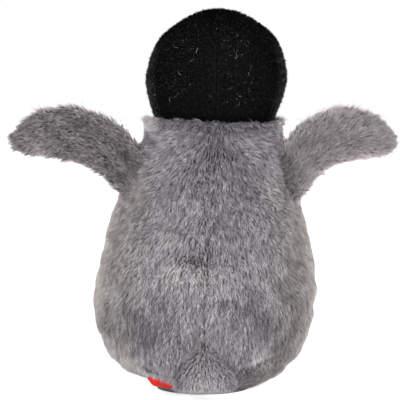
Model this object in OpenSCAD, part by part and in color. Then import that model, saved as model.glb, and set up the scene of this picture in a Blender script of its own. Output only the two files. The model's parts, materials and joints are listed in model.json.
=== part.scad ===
// Plush penguin chick, standing, facing -Y. Millimetres, +Z up, origin at the middle of the flat base.
// Every sewn panel is a shell as thick as its cloth and flattened pile, and the filling is solid.

/* [Torso] */
// Height of the neck seam above the floor
neck_z = 175; // [160:1:190]
// Greatest width over the fur
torso_w = 147; // [130:1:155]
// Depth in front of the middle line
torso_front = 67; // [60:1:72]
// Depth behind the middle line
torso_back = 60; // [54:1:64]
// Radius of the flat round base patch
base_r = 30; // [27:1:33]
// Outer radius of the collar at the neck seam
collar_r = 42.5; // [41.5:0.5:44]
// How far the neck leans towards the right flipper
lean = 7.5; // [0:0.5:8]
// Thickness of the long-pile cloth
pile_t = 5; // [3:0.5:6]

/* [Head] */
// Greatest width of the head
head_w = 91; // [86:1:93]
// Height of the crown above the floor
crown_z = 246.5; // [240:0.5:256]
// How far the crown stands to the right of the neck
head_lean = 2.6; // [0:0.2:4]
// Depth of the face in front of the middle line
head_front = 46.5; // [43:0.5:48]
// Depth of the back of the head behind the middle line
head_back = 44.5; // [42:0.5:46]
// Thickness of the short-pile velour
velour_t = 2; // [1.5:0.25:2.5]
// Diameter of the domed eyes
eye_d = 11; // [9:0.5:13]
// Length of the beak in front of the face
beak_l = 17; // [12:1:20]
// How far the head turns to each side
head_turn_max = 15; // [5:1:20]
// How far the head nods to the front and to the back
head_nod_max = 10; // [5:1:12]

/* [Flippers] */
// Length from the shoulder seam to the tip
flipper_l = 79; // [70:0.5:86]
// Half thickness at the fullest place
flipper_h = 8; // [6:0.5:9]
// Length of the shoulder seam
shoulder_seam = 39.5; // [32:0.5:40]
// Backward swing of the left flipper as it stands
left_rest = 0; // [-10:1:20]
// Backward swing of the right flipper as it stands, negative to the front
right_rest = -26; // [-30:1:20]

/* [Feet and tail] */
// Length of a foot from its seam to the middle toe
foot_l = 46; // [40:1:48]
// Height of a foot
foot_h = 11; // [9:0.5:12]
// Outward turn of each foot
foot_splay = 12; // [0:1:18]
// Width of the tail
tail_w = 42; // [34:1:46]
// Height of the tail's seam above the floor
tail_z = 31; // [28:1:34]

/* [Label] */
// Width of the woven label
label_w = 16; // [12:1:20]
// Hanging length of the folded label
label_l = 8.5; // [8:0.5:12]

/* [Hidden] */

fur_grey = [0.52, 0.51, 0.52];
fur_pale = [0.74, 0.73, 0.72];
velour_black = [0.03, 0.03, 0.03];
velour_white = [0.9, 0.89, 0.87];
felt_black = [0.05, 0.05, 0.055];
filling_white = [0.93, 0.93, 0.92];
lining_white = [0.85, 0.85, 0.83];
thread_grey = [0.3, 0.3, 0.31];
label_red = [0.8, 0.1, 0.06];
eye_black = [0.01, 0.01, 0.01];
pellet_clear = [0.8, 0.83, 0.86];

gap = 0.3;          // air between filling and cloth
seam_slit = 0.12;   // half of the slit between two panels, as an angle
level_slit = 0.0007; // half of the slit between a panel and the one above it, as a share of the height
thread_r = 0.4;     // radius of the sewing thread
eps = 0.01;         // step of the numerical normals
floor_gap = 0.5;    // height of the soft parts' undersides above the flat base

// ---------- curves and grids ----------

function mix(a, b, t) = a + (b - a) * t;
function clamp01(t) = min(1, max(0, t));
function ease(t) = let (c = clamp01(t)) c * c * (3 - 2 * c);
function unit(v) = v / norm(v);
function turn_z(p, a) = [p.x * cos(a) - p.y * sin(a), p.x * sin(a) + p.y * cos(a), p.z];

// A smooth curve through rows of numbers, at t from 0 to 1.
function through(rows, t) =
    let (n = len(rows) - 1, s = clamp01(t) * n, i = min(floor(s), n - 1), f = s - i,
         p0 = rows[max(i - 1, 0)], p1 = rows[i], p2 = rows[i + 1], p3 = rows[min(i + 2, n)])
    0.5 * (2 * p1 + (p2 - p0) * f + (2 * p0 - 5 * p1 + 4 * p2 - p3) * f * f
           + (3 * p1 - p0 - 3 * p2 + p3) * f * f * f);

// A grid of the points place(u, v), with u running across and v up.
function grid(place, nu, nv) = [for (i = [0:nv]) [for (j = [0:nu]) place(j / nu, i / nv)]];

function flat_list(rows) = [for (row = rows) each row];

// The quads of a grid of points whose first point has number start.
function quads(nu, nv, start, flip) = [
    for (i = [0:nv - 1]) for (j = [0:nu - 1])
        let (p = start + i * (nu + 1) + j, q = [p, p + nu + 1, p + nu + 2, p + 1])
        flip ? [q[3], q[2], q[1], q[0]] : q
];

// A closed shell between an outer and an inner grid of the same size.
module shell(outer, inner) {
    nv = len(outer) - 1;
    nu = len(outer[0]) - 1;
    n = (nu + 1) * (nv + 1);
    top = nv * (nu + 1);
    polyhedron(
        concat(flat_list(outer), flat_list(inner)),
        concat(
            quads(nu, nv, 0, false), quads(nu, nv, n, true),
            [for (j = [0:nu - 1]) [j, j + 1, n + j + 1, n + j]],
            [for (j = [0:nu - 1]) [top + j + 1, top + j, n + top + j, n + top + j + 1]],
            [for (i = [0:nv - 1]) let (p = i * (nu + 1)) [p + nu + 1, p, n + p, n + p + nu + 1]],
            [for (i = [0:nv - 1]) let (p = i * (nu + 1) + nu) [p, p + nu + 1, n + p + nu + 1, n + p]]
        ),
        convexity = 6);
}

// A closed solid through a stack of rings of points, listed from the bottom up.
module ring_stack(rings) {
    n = len(rings[0]);
    last = len(rings) - 1;
    polyhedron(
        flat_list(rings),
        concat(
            [[for (j = [0:n - 1]) j]],
            [for (i = [0:last - 1]) for (j = [0:n - 1])
                let (k = (j + 1) % n) [i * n + j, (i + 1) * n + j, (i + 1) * n + k, i * n + k]],
            [[for (j = [n - 1:-1:0]) last * n + j]]
        ),
        convexity = 6);
}

// ---------- torso ----------

// Shares of the torso's height, width, front, back and lean, from the base to the neck.
torso_shape = [
    [0.030, 0.555, 0.580, 0.630, 0],
    [0.080, 0.765, 0.745, 0.780, 0],
    [0.170, 0.912, 0.910, 0.915, 0.02],
    [0.330, 1.000, 1.000, 1.000, 0.14],
    [0.500, 0.946, 0.945, 0.935, 0.32],
    [0.675, 0.853, 0.825, 0.835, 0.50],
    [0.830, 0.715, 0.720, 0.765, 0.72],
    [0.930, 0.636, 0.655, 0.725, 0.92]
];
torso_rows = concat(
    [[0, base_r + gap, base_r + gap, base_r + gap, 0]],
    [for (s = torso_shape)
        [s[0] * neck_z, s[1] * torso_w / 2, s[2] * torso_front, s[3] * torso_back, s[4] * lean]],
    [[neck_z, collar_r, collar_r, collar_r, lean]]);
torso_levels = 2 * (len(torso_rows) - 1);
gusset_top = 2 / (len(torso_rows) - 1);
torso_sides = 48;

// A point on the outside of the torso: angle 0 is the left side, 90 the back and 270 the front.
function torso_point(a, v) =
    let (r = through(torso_rows, v))
    [r[1] * cos(a) - r[4], (sin(a) > 0 ? r[3] : r[2]) * sin(a), r[0]];
function torso_normal(a, v) =
    let (lo = max(v - eps, 0), hi = min(v + eps, 1))
    unit(cross(torso_point(a + 1, v) - torso_point(a - 1, v), torso_point(a, hi) - torso_point(a, lo)));
// The cloth thins to a narrow edge where it is sewn round the neck.
function pile_at(v) = mix(pile_t, 2, ease((v - 0.88) / 0.12));
function torso_inside(a, v, more = 0) = torso_point(a, v) - (pile_at(v) + more) * torso_normal(a, v);

// The side seam runs forwards as it climbs to the shoulder.
function side_seam(v) = mix(49, 21, ease((v - 0.6) / 0.22));
front_seam = -35;

// A panel between two seams, which are angles as functions of v, from v0 to v1.
module torso_panel(from, to, v0, v1, nu) {
    nv = round((v1 - v0) * torso_levels);
    across = function (u, v) mix(from(v) + seam_slit, to(v) - seam_slit, u);
    up = function (t) mix(v0 + level_slit, v1 - level_slit, t);
    outer = function (u, t) let (v = up(t)) torso_point(across(u, v), v);
    inner = function (u, t) let (v = up(t)) torso_inside(across(u, v), v);
    shell(grid(outer, nu, nv), grid(inner, nu, nv));
}

left_seam = function (v) side_seam(v);
right_seam = function (v) 180 - side_seam(v);
back_seam = function (v) 90;

module back_panel_left() { color(fur_grey) torso_panel(left_seam, back_seam, gusset_top, 1, 8); }
module back_panel_right() { color(fur_grey) torso_panel(back_seam, right_seam, gusset_top, 1, 8); }
module side_panel_left() {
    color(fur_grey) torso_panel(function (v) front_seam, left_seam, gusset_top, 1, 9);
}
module side_panel_right() {
    color(fur_grey) torso_panel(right_seam, function (v) 180 - front_seam, gusset_top, 1, 9);
}
module belly_panel() {
    color(fur_pale) torso_panel(function (v) 180 - front_seam, function (v) 360 + front_seam, gusset_top, 1, 14);
}
module base_gusset_left() {
    color(fur_grey) torso_panel(function (v) -90, function (v) 90, 0, gusset_top, 24);
}
module base_gusset_right() {
    color(fur_grey) torso_panel(function (v) 90, function (v) 270, 0, gusset_top, 24);
}

// The flat round patch that the toy stands on, mitred to fit the gusset's edge.
base_in = torso_inside(0, 0);
module base_patch() {
    color(fur_grey) cylinder(r1 = base_r, r2 = base_in.x - gap, h = base_in.z, $fn = 96);
}

// ---------- neck: the head's filling turns in a hollow of the torso's filling ----------

neck_pivot = [-lean, 0, neck_z + 25];                        // centre of every head movement
socket_r = norm([collar_r - 2, neck_pivot.z - neck_z]) - 0.1; // radius of the torso's hollow
ball_r = socket_r - 1.1;                                     // radius of the head's underside
pad_in_r = ball_r - 10;                                      // radius of the neck wad's trough, along X
pad_r = 18.5;                                                // radius of the neck wad's round side
skirt_angle = 46;                                            // lower edge of the hood, from straight down

// A level ring on a ball round the neck pivot, at an angle from straight down.
function ball_ring(r, angle, sides) = [
    for (j = [0:sides - 1]) let (a = j * 360 / sides)
        neck_pivot + r * [sin(angle) * cos(a), sin(angle) * sin(a), -cos(angle)]
];

module torso_stuffing() {
    sides = [for (i = [0:torso_levels]) let (v = i / torso_levels)
        [for (j = [0:torso_sides - 1]) torso_inside(j * 360 / torso_sides, v, gap)]];
    hollow = [for (angle = [54:-7:5]) ball_ring(socket_r, angle, torso_sides)];
    color(filling_white) difference() {
        ring_stack(concat(sides, hollow));
        pouch_form(pouch_r + 1, pouch_h + 3, base_in.z - 1);
    }
}

module neck_stuffing() {
    color(filling_white) translate(neck_pivot) difference() {
        intersection() {
            sphere(r = ball_r - 0.2, $fn = 96);
            translate([0, 0, -ball_r - 1]) cylinder(r = pad_r, h = ball_r, $fn = 96);
        }
        rotate([0, 90, 0]) cylinder(r = pad_in_r, h = 3 * pad_r, center = true, $fn = 96);
    }
}

// ---------- pellet pouch ----------

pouch_r = 24;
pouch_h = 15;
pouch_t = 0.6;
pouch_seam = 5;    // height of the rim where its two discs are sewn
pouch_z = base_in.z + gap;

// A low round cushion: flat below, domed above.
module pouch_form(r, h, lift) {
    translate([0, 0, lift]) rotate_extrude($fn = 96)
        polygon(concat([[0, 0], [r - 3, 0]], [for (a = [0:10:90]) [r * cos(a), 2 + (h - 2) * sin(a)]]));
}
module pouch_skin() {
    difference() {
        pouch_form(pouch_r, pouch_h, pouch_z);
        pouch_form(pouch_r - pouch_t, pouch_h - 2 * pouch_t, pouch_z + pouch_t);
    }
}
module pouch_slice(z0, z1) {
    intersection() {
        pouch_skin();
        translate([0, 0, z0]) cylinder(r = pouch_r + 1, h = z1 - z0, $fn = 96);
    }
}
module pellet_pouch_upper() { color(lining_white) pouch_slice(pouch_z + pouch_seam, pouch_z + pouch_h + 1); }
module pellet_pouch_lower() { color(lining_white) pouch_slice(pouch_z - 1, pouch_z + pouch_seam); }
module pellets() {
    inset = pouch_t + 0.2;
    color(pellet_clear) pouch_form(pouch_r - inset, pouch_h - 2 * inset - 2, pouch_z + inset);
}

// ---------- head ----------

// Shares of the way from the neck seam to the crown, of the half width, of the front and of the back.
head_shape = [
    [0.120, 0.912, 0.903, 0.921],
    [0.265, 0.974, 0.968, 0.978],
    [0.425, 1.000, 1.000, 1.000],
    [0.585, 0.954, 0.957, 0.955],
    [0.745, 0.826, 0.828, 0.831],
    [0.880, 0.582, 0.581, 0.584],
    [0.970, 0.290, 0.290, 0.292]
];
function skirt_row(angle) =
    let (r = ball_r * sin(angle)) [neck_pivot.z - ball_r * cos(angle), r, r, r];
head_rows = concat(
    [skirt_row(skirt_angle), skirt_row(skirt_angle + 6)],
    [for (s = head_shape)
        [mix(neck_z, crown_z, s[0]), s[1] * head_w / 2, s[2] * head_front, s[3] * head_back]],
    [[crown_z, 1.5, 1.5, 1.5]]);
head_levels = 2 * (len(head_rows) - 1);
head_sides = 40;
face_top = 11 / head_levels;      // where the white face ends under the forehead
beak_level = 8 / head_levels;     // where the nose strip ends at the beak

function head_point(a, v) =
    let (r = through(head_rows, v), aside = head_lean * clamp01((r[0] - neck_z) / (crown_z - neck_z)))
    [r[1] * cos(a) + neck_pivot.x - aside, (sin(a) > 0 ? r[3] : r[2]) * sin(a), r[0]];
function head_normal(a, v) =
    let (lo = max(v - eps, 0), hi = min(v + eps, 1))
    unit(cross(head_point(a + 1, v) - head_point(a - 1, v), head_point(a, hi) - head_point(a, lo)));
function head_inside(a, v, more = 0) = head_point(a, v) - (velour_t + more) * head_normal(a, v);

module head_panel(a0, a1, v0, v1, nu, nv) {
    across = function (u) mix(a0 + seam_slit, a1 - seam_slit, u);
    up = function (t) mix(v0 + level_slit, v1 - level_slit, t);
    outer = function (u, t) head_point(across(u), up(t));
    inner = function (u, t) head_inside(across(u), up(t));
    shell(grid(outer, nu, nv), grid(inner, nu, nv));
}

nape_a = 90;
ear_seam = 25;     // seam between the back and the side of the hood
face_seam = -20;   // seam between the side of the hood and the face
nose_half = 14;    // half width of the nose strip, as an angle

module hood_back_left() { color(velour_black) head_panel(ear_seam, nape_a, 0, 1, 7, head_levels); }
module hood_back_right() { color(velour_black) head_panel(nape_a, 180 - ear_seam, 0, 1, 7, head_levels); }
module hood_side_left() { color(velour_black) head_panel(face_seam, ear_seam, 0, 1, 5, head_levels); }
module hood_side_right() { color(velour_black) head_panel(180 - ear_seam, 180 - face_seam, 0, 1, 5, head_levels); }
module forehead_panel() {
    color(velour_black) head_panel(180 - face_seam, 360 + face_seam, face_top, 1, 14, 7);
}
module nose_strip() {
    color(velour_black) head_panel(270 - nose_half, 270 + nose_half, beak_level, face_top, 3, 3);
}
module chin_panel() {
    color(velour_white) head_panel(270 - nose_half, 270 + nose_half, 0, beak_level, 3, 8);
}
module face_blank(a0, a1) { head_panel(a0, a1, 0, face_top, 6, 11); }
module face_left() {
    color(velour_white) difference() {
        face_blank(270 + nose_half, 360 + face_seam);
        eye_place(1) eye_hole();
    }
}
module face_right() {
    color(velour_white) difference() {
        face_blank(180 - face_seam, 270 - nose_half);
        eye_place(-1) eye_hole();
    }
}
module head_stuffing() {
    hollow = [
        ball_ring(pad_in_r - 0.5, 6, head_sides), ball_ring(pad_in_r - 0.5, 22, head_sides),
        ball_ring(pad_in_r - 0.5, skirt_angle - 8, head_sides), ball_ring(pad_in_r - 0.5, skirt_angle - 3, head_sides)
    ];
    sides = [for (i = [0:head_levels]) let (v = i / head_levels)
        [for (j = [0:head_sides - 1]) head_inside(j * 360 / head_sides, v, gap)]];
    color(filling_white) difference() {
        ring_stack(concat(hollow, [for (i = [0:head_levels - 1]) sides[i]]));
        eye_place(1) eye_pocket();
        eye_place(-1) eye_pocket();
    }
}

// ---------- eyes: a domed button on a stem, locked by a washer inside the head ----------

eye_angle = 37;    // from straight ahead
eye_level = 9.6 / head_levels;
stem_r = 1.6;
stem_l = 11;
washer_r = 6;
washer_t = 1.2;
washer_at = velour_t + gap + 0.6;   // depth of the washer behind the cloth's face

// The children's +X axis points straight out of the cloth at the left (side 1) or right (side -1) eye.
module eye_place(side) {
    a = 270 + side * eye_angle;
    out = head_normal(a, eye_level);
    translate(head_point(a, eye_level)) rotate([0, -asin(out.z), atan2(out.y, out.x)]) children();
}
module eye_hole() { rotate([0, 90, 0]) translate([0, 0, -6]) cylinder(r = stem_r + 0.1, h = 12, $fn = 32); }
module eye_pocket() {
    rotate([0, -90, 0]) cylinder(r = stem_r + gap, h = stem_l + 2, $fn = 32);
    rotate([0, -90, 0]) cylinder(r = washer_r + gap, h = washer_at + washer_t + gap, $fn = 48);
}
// The button is a flat-backed dome and its stem, turned as one profile round the stem's axis.
dome_h = eye_d * 0.42;
module eye() {
    dome = [for (a = [0:9:90]) [eye_d / 2 * cos(a), 0.6 + dome_h * sin(a)]];
    color(eye_black) rotate([0, 90, 0]) rotate_extrude($fn = 64)
        polygon(concat([[0, -stem_l], [stem_r, -stem_l], [stem_r, 0.6]], dome));
}
module eye_washer() {
    color(lining_white) translate([-washer_at, 0, 0]) rotate([0, -90, 0]) difference() {
        cylinder(r = washer_r, h = washer_t, $fn = 48);
        translate([0, 0, -1]) cylinder(r = stem_r + 0.05, h = washer_t + 2, $fn = 32);
    }
}
module eye_left() { eye_place(1) eye(); }
module eye_right() { eye_place(-1) eye(); }
module eye_washer_left() { eye_place(1) eye_washer(); }
module eye_washer_right() { eye_place(-1) eye_washer(); }

// ---------- beak ----------

beak_root = head_point(270, 7.9 / head_levels) - [0, 0.5, 0];
beak_half = 7;     // half width of the beak at the face
beak_up = 6.5;     // height of the upper half at the face
beak_down = 4.5;   // height of the lower half at the face

// Half of a tapering, drooping beak: rise is its height above the parting, or below it if negative.
module beak_half_form(rise, length) {
    rings = [for (i = [0:6]) let (t = i / 6, w = beak_half * sqrt(1 - 0.93 * t), h = rise * sqrt(1 - 0.9 * t))
        [for (j = [0:10]) let (b = 180 * j / 10)
            beak_root + [w * cos(b), -length * t, h * sin(b) + sign(rise) * 0.15 - 2.5 * t * t]]];
    ring_stack(rise > 0 ? [for (r = rings) [for (j = [len(r) - 1:-1:0]) r[j]]] : rings);
}
module beak_upper() { color(felt_black) beak_half_form(beak_up, beak_l); }
module beak_lower() { color(felt_black) beak_half_form(-beak_down, beak_l * 0.8); }

// ---------- flippers ----------

// Along the flipper: distance from the seam, height of the middle, half width, half thickness.
flipper_shape = [
    [0.01, 0.5, 0.500, 0.22],
    [0.19, 7.8, 0.480, 0.66],
    [0.39, 10.5, 0.475, 0.94],
    [0.58, 9.5, 0.480, 1.00],
    [0.74, 5.8, 0.440, 0.94],
    [0.87, 2.2, 0.380, 0.80],
    [0.96, -2.3, 0.240, 0.55],
    [1.00, -3.3, 0.080, 0.22]
];
flipper_rows = [for (s = flipper_shape)
    [s[0] * flipper_l, s[1], s[2] * shoulder_seam, s[3] * flipper_h]];
flipper_t = 3;            // thickness of the flipper's cloth
flipper_tilt = 18;        // lean of the shoulder seam, inwards at its top
shoulder_x = 53.0;        // hinge line at mid seam, from the torso's leaning middle line
shoulder_y = 15.5;
shoulder_z = 144;
shoulder_lean = 0.66 * lean;

// A point round the flipper: b runs from 0 at its upper edge over the back to 180 at its lower edge.
function flipper_point(b, v, t = 0) =
    let (r = through(flipper_rows, v), w = max(r[2] - t, 0.5), h = max(r[3] - t * 0.75, 0.7))
    [r[0] - t * 0.6 * v * v, h * sin(b), r[1] + w * cos(b)];

// The children are drawn with the seam along Z through the origin and the flipper along +X.
module flipper_place(side) {
    mirror([side < 0 ? 1 : 0, 0, 0])
        translate([shoulder_x - side * shoulder_lean, shoulder_y, shoulder_z])
            rotate([0, -flipper_tilt, 0])
                rotate([0, 0, side > 0 ? left_rest : right_rest]) children();
}
module flipper_panel(b0, b1) {
    outer = function (u, v) flipper_point(mix(b1, b0, u), v);
    inner = function (u, v) flipper_point(mix(b1, b0, u), v, flipper_t);
    color(fur_grey) shell(grid(outer, 10, 14), grid(inner, 10, 14));
}
module flipper_filling() {
    rings = [for (i = [1:14]) [for (j = [0:19]) flipper_point(-j * 18, i / 14.3, flipper_t + gap)]];
    color(filling_white) ring_stack(rings);
}
module flipper_stitching() {
    color(thread_grey) translate([0, 0, -shoulder_seam * 0.46]) cylinder(r = thread_r, h = shoulder_seam * 0.92, $fn = 24);
}
module flipper_back_left() { flipper_place(1) flipper_panel(1, 179); }
module flipper_front_left() { flipper_place(1) flipper_panel(181, 359); }
module flipper_stuffing_left() { flipper_place(1) flipper_filling(); }
module flipper_stitching_left() { flipper_place(1) flipper_stitching(); }
module flipper_back_right() { flipper_place(-1) flipper_panel(1, 179); }
module flipper_front_right() { flipper_place(-1) flipper_panel(181, 359); }
module flipper_stuffing_right() { flipper_place(-1) flipper_filling(); }
module flipper_stitching_right() { flipper_place(-1) flipper_stitching(); }

// ---------- feet ----------

foot_x = 27;
foot_y = -37;
foot_z = floor_gap + 2.2;    // height of the seam that the foot bends at
foot_t = 1.5;                // thickness of the foot's cloth
foot_mid = 0.47;             // distance of the foot's middle from its seam, as a share of its length
toe_angle = 38;              // angle between two toes
toe_out = 0.05;              // half of how far the toes stand out, as a share of the length

// The outline of a foot round its middle: b is the angle from straight ahead.
function foot_radius(b) =
    let (m = b > 180 ? b - 360 : b, toes = abs(m) < toe_angle * 1.5 ? 1 + cos(360 * m / toe_angle) : 0)
    foot_l * (mix(0.35, 0.44, cos(m) * cos(m)) + toe_out * toes);
function foot_edge(b, share, z) =
    let (r = foot_radius(b) * share) [r * sin(b), -foot_l * foot_mid - r * cos(b), z];
foot_sides = 48;
function foot_ring(share, z) = [for (j = [0:foot_sides - 1]) foot_edge(j * 360 / foot_sides, share, z)];

// A dome over the foot's outline, drawn smaller by the inset, as rings from the bottom up.
function foot_dome(inset, height, z) = [
    for (a = [0, 20, 40, 60, 76]) foot_ring((1 - inset) * cos(a), z + height * sin(a))
];
function reversed(rows) = [for (i = [len(rows) - 1:-1:0]) rows[i]];
module foot_place(side) {
    mirror([side < 0 ? 1 : 0, 0, 0]) translate([foot_x, foot_y, foot_z]) rotate([0, 0, foot_splay]) children();
}
foot_low = floor_gap - foot_z;     // underside of the sole from the seam's height
foot_in = 0.1;                     // inset of the filling, as a share of the outline
module foot_top() {
    base = foot_low + foot_t + 0.05;
    inner = foot_dome(foot_in, foot_h - 2 * foot_t, base);
    color(felt_black) ring_stack(concat(reversed(inner), foot_dome(0, foot_h - foot_t, base)));
}
module foot_sole() {
    color(felt_black) ring_stack([foot_ring(0.97, foot_low), foot_ring(1, foot_low + foot_t)]);
}
module foot_filling() {
    base = foot_low + foot_t + 0.1;
    color(filling_white) ring_stack(foot_dome(foot_in + 0.03, foot_h - 2 * foot_t - gap, base));
}
module foot_stitching() {
    color(thread_grey) rotate([0, 90, 0]) translate([0, 0, -9]) cylinder(r = thread_r, h = 18, $fn = 24);
}
module foot_top_left() { foot_place(1) foot_top(); }
module foot_sole_left() { foot_place(1) foot_sole(); }
module foot_stuffing_left() { foot_place(1) foot_filling(); }
module foot_stitching_left() { foot_place(1) foot_stitching(); }
module foot_top_right() { foot_place(-1) foot_top(); }
module foot_sole_right() { foot_place(-1) foot_sole(); }
module foot_stuffing_right() { foot_place(-1) foot_filling(); }
module foot_stitching_right() { foot_place(-1) foot_stitching(); }

// ---------- tail ----------

tail_y = torso_back - 2.6;
// Height, half width, half depth and middle of the level rings of the tail, from the floor up.
tail_rows = [
    [5.0, 0.30 * tail_w / 2, 2.5, tail_y - 2.6],
    [6.2, 0.78 * tail_w / 2, 7.0, tail_y - 2.6],
    [10, 1.00 * tail_w / 2, 9.6, tail_y - 1.0],
    [16, 0.90 * tail_w / 2, 8.6, tail_y + 0.6],
    [22, 0.64 * tail_w / 2, 6.0, tail_y + 1.0],
    [tail_z - 4, 0.36 * tail_w / 2, 3.4, tail_y + 0.8],
    [tail_z - 1, 0.16 * tail_w / 2, 1.4, tail_y + 0.3]
];
tail_t = 3;
function tail_point(b, v, t = 0) =
    let (r = through(tail_rows, v))
    [max(r[1] - t, 0.4) * cos(b), r[3] + max(r[2] - t, 0.35) * sin(b), mix(r[0], mix(8, tail_z - 4, v), t / 4)];
module tail_panel(b0) {
    outer = function (u, v) tail_point(b0 + 180 * u, v);
    inner = function (u, v) tail_point(b0 + 180 * u, v, tail_t);
    color(fur_grey) shell(grid(outer, 12, 12), grid(inner, 12, 12));
}
module tail_top() { tail_panel(0); }
module tail_under() { tail_panel(180); }
module tail_stuffing() {
    color(filling_white)
        ring_stack([for (i = [1:11]) [for (j = [0:23]) tail_point(j * 15, i / 12, tail_t + gap)]]);
}
module tail_stitching() {
    color(thread_grey) translate([-7, tail_y, tail_z]) rotate([0, 90, 0]) cylinder(r = thread_r, h = 14, $fn = 24);
}

// ---------- label ----------

label_at = [27, 45.3, 14.6];   // middle of the label's seam
label_t = 0.35;
label_gap = 0.8;               // space between the two layers of the folded ribbon
module care_label() {
    half = label_gap / 2 + label_t;
    color(label_red) translate(label_at) rotate([90, 0, 90]) translate([0, 0, -label_w / 2])
        linear_extrude(label_w) difference() {
            hull() {
                translate([-half, -1]) square([2 * half, 0.1]);
                translate([0, -label_l + half]) circle(r = half, $fn = 32);
            }
            hull() {
                translate([-label_gap / 2, -1.5]) square([label_gap, 1]);
                translate([0, -label_l + half]) circle(r = label_gap / 2, $fn = 32);
            }
        }
}
module label_stitching() {
    color(thread_grey) translate(label_at - [label_w / 2, 0, 0]) rotate([0, 90, 0])
        cylinder(r = thread_r, h = label_w, $fn = 24);
}

// ---------- nodes ----------

back_panel_left();
back_panel_right();
side_panel_left();
side_panel_right();
belly_panel();
base_gusset_left();
base_gusset_right();
base_patch();
torso_stuffing();
pellet_pouch_upper();
pellet_pouch_lower();
pellets();
neck_stuffing();
hood_back_left();
hood_back_right();
hood_side_left();
hood_side_right();
forehead_panel();
nose_strip();
face_left();
face_right();
chin_panel();
head_stuffing();
beak_upper();
beak_lower();
eye_left();
eye_right();
eye_washer_left();
eye_washer_right();
flipper_back_left();
flipper_front_left();
flipper_stuffing_left();
flipper_stitching_left();
flipper_back_right();
flipper_front_right();
flipper_stuffing_right();
flipper_stitching_right();
foot_top_left();
foot_sole_left();
foot_stuffing_left();
foot_stitching_left();
foot_top_right();
foot_sole_right();
foot_stuffing_right();
foot_stitching_right();
tail_top();
tail_under();
tail_stuffing();
tail_stitching();
care_label();
label_stitching();
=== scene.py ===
"""Looks of the plush penguin chick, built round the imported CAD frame.

Shapes are worked out in millimetres from the frame's own boxes and turned into metres by new_mesh().
The pile is real geometry: flat tapering blades in small tufts, which lie the way the nap runs.
"""

import math

import bpy
import json
import numpy as np
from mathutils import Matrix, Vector


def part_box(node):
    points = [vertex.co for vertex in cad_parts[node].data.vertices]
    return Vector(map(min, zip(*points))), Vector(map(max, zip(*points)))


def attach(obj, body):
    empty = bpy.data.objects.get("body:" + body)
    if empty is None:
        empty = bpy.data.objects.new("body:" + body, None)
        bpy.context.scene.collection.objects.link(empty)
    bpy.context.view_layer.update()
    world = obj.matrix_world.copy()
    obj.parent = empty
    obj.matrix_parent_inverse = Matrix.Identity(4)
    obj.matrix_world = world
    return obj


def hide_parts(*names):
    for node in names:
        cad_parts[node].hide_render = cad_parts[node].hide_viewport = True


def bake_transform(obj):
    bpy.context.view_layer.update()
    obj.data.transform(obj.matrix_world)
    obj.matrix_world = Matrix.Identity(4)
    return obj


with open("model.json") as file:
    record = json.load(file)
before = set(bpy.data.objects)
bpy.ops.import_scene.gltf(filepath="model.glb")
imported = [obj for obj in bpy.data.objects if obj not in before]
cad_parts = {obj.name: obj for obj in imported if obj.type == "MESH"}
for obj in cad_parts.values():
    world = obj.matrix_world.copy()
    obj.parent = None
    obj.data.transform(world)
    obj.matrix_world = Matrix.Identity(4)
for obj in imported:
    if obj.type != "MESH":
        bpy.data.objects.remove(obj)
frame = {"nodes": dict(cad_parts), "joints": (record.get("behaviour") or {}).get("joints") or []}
scene = bpy.context.scene
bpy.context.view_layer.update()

rng = np.random.default_rng(20)


# ---------- sizes from the frame, in millimetres ----------


def low(node):
    return np.array(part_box(node)[0]) * 1000


def high(node):
    return np.array(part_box(node)[1]) * 1000


def joint(name):
    return next(j for j in frame["joints"] if j["name"] == name)


def hinge_at(name):
    return np.array(joint(name)["pos_m"]) * 1000


NECK_Z = round(high("back_panel_left")[2])
TORSO_W = high("side_panel_left")[0] - low("side_panel_right")[0]
TORSO_FRONT = -low("belly_panel")[1]
TORSO_BACK = high("back_panel_left")[1]
BASE_R = high("base_patch")[0]
COLLAR_R = 42.5
PIVOT = hinge_at("head_turn")
NECK_R = math.hypot(COLLAR_R - 2, PIVOT[2] - NECK_Z)  # from the head's pivot to the collar's edge
LEAN = -PIVOT[0]
CROWN_Z = high("hood_back_left")[2]
HEAD_W = high("hood_side_left")[0] - low("hood_side_right")[0]
HEAD_FRONT = -low("nose_strip")[1]
HEAD_BACK = high("hood_back_left")[1]


# ---------- numbers and vectors ----------


UP = np.array([0, 0, 1.0])


def clamp01(t):
    return np.clip(t, 0, 1)


def ease(t):
    t = clamp01(t)
    return t * t * (3 - 2 * t)


def mix(a, b, t):
    return a + (b - a) * t


def bump(d, width):
    """A bell of height 1 and this half width."""
    return np.exp(-((d / width) ** 2))


def unit(v):
    return v / np.maximum(np.linalg.norm(v, axis=-1, keepdims=True), 1e-9)


def through(rows, t):
    """A smooth curve through rows of numbers, at t from 0 to 1."""
    rows = np.asarray(rows, float)
    n = len(rows) - 1
    s = clamp01(t) * n
    i = np.minimum(s.astype(int), n - 1)
    f = (s - i)[..., None]
    p0, p1 = rows[np.maximum(i - 1, 0)], rows[i]
    p2, p3 = rows[i + 1], rows[np.minimum(i + 2, n)]
    return 0.5 * (
        2 * p1
        + (p2 - p0) * f
        + (2 * p0 - 5 * p1 + 4 * p2 - p3) * f**2
        + (3 * p1 - p0 - 3 * p2 + p3) * f**3
    )


def waves(p, scale, seed):
    """Smooth noise from -1 to 1 in space: a sum of plane waves, about one bump for each scale."""
    r = np.random.default_rng(seed)
    k = unit(r.normal(size=(7, 3))) * r.uniform(0.6, 1.5, (7, 1)) * 2 * math.pi / scale
    phase = r.uniform(0, 2 * math.pi, 7)
    return np.sin(p @ k.T + phase).sum(-1) / 3.2


def turned(v, axis, angle):
    """Vectors turned about unit axes by angles in radians."""
    c, s = np.cos(angle)[..., None], np.sin(angle)[..., None]
    return v * c + np.cross(axis, v) * s + axis * (v * axis).sum(-1, keepdims=True) * (1 - c)


def wrapped(a):
    """An angle in degrees brought to -180 to 180."""
    return (np.asarray(a) + 180) % 360 - 180


# ---------- meshes ----------


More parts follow.
